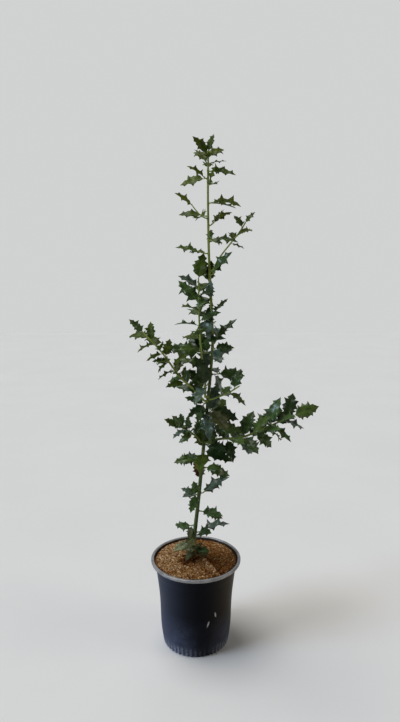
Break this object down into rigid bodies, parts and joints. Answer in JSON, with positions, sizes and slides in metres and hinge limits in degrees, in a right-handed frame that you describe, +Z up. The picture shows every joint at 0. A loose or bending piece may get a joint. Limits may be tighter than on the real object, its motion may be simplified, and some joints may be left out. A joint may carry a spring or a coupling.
{
  "type": "potted holly tree",
  "caption": "Young spiny-leaved holly tree in a round nursery pot, with a slender leader, side boughs and separate masses of leaves.",
  "frame": {"origin": "centre of the pot's flat underside", "axes": "+Z up along the pot's axis, -Y the front, +X the plant's right with the long bough"},
  "size_m": [0.521, 0.26, 1.4256],
  "materials": {
    "pot_plastic": "semi-gloss injection-moulded anthracite plastic, dusty low down, with a few scuffs",
    "mulch": "loose tan and red-brown bark and coir chips",
    "bark": "smooth green-brown young bark with small raised dots",
    "green_bark": "smooth green young bark",
    "foliage": "thick glossy dark green leaves with spines, wavy margins and paler midribs",
    "young_foliage": "glossy yellow-green young leaves with spines and wavy margins"
  },
  "bodies": {
    "root": {"growing_medium": "mulch", "left_bough": "green_bark", "left_bough_leaves": "foliage", "low_left_bough": "green_bark", "low_left_bough_leaves": "foliage", "middle_right_bough": "green_bark", "middle_right_bough_leaves": "foliage", "pot": "pot_plastic", "right_bough": "green_bark", "right_bough_leaves": "foliage", "second_stem": "green_bark", "second_stem_leaves": "foliage", "top_right_bough": "green_bark", "top_right_bough_leaves": "young_foliage", "top_tuft_leaves": "young_foliage", "trunk": "bark", "trunk_shoot_01_leaves": "young_foliage", "trunk_shoot_02_leaves": "young_foliage", "trunk_shoot_03_leaves": "young_foliage", "trunk_shoot_04_leaves": "young_foliage", "trunk_shoot_05_leaves": "young_foliage", "trunk_shoot_06_leaves": "young_foliage", "trunk_shoot_07_leaves": "young_foliage", "trunk_shoot_08_leaves": "young_foliage", "trunk_shoot_09_leaves": "foliage", "trunk_shoot_10_leaves": "foliage", "trunk_shoot_11_leaves": "foliage", "trunk_shoot_12_leaves": "foliage", "trunk_shoot_13_leaves": "foliage", "trunk_shoot_14_leaves": "foliage", "trunk_shoot_15_leaves": "foliage", "trunk_shoot_16_leaves": "foliage", "trunk_shoot_17_leaves": "foliage", "trunk_shoot_18_leaves": "foliage", "trunk_shoot_19_leaves": "foliage", "trunk_shoot_20_leaves": "foliage", "trunk_shoot_21_leaves": "foliage", "trunk_shoot_22_leaves": "foliage", "trunk_shoot_23_leaves": "foliage", "trunk_shoot_24_leaves": "foliage", "trunk_shoot_25_leaves": "foliage", "trunk_shoot_26_leaves": "foliage", "trunk_shoot_27_leaves": "foliage", "trunk_shoot_28_leaves": "foliage", "trunk_shoot_29_leaves": "foliage", "trunk_shoot_30_leaves": "foliage", "trunk_shoot_31_leaves": "foliage", "trunk_shoot_32_leaves": "foliage", "trunk_shoot_33_leaves": "foliage", "trunk_shoot_34_leaves": "foliage", "trunk_shoot_35_leaves": "foliage", "trunk_shoot_36_leaves": "foliage", "trunk_shoot_37_leaves": "foliage", "trunk_shoot_38_leaves": "foliage", "trunk_shoot_39_leaves": "foliage", "trunk_shoot_40_leaves": "foliage", "trunk_shoot_41_leaves": "foliage"}
  },
  "joints": []
}
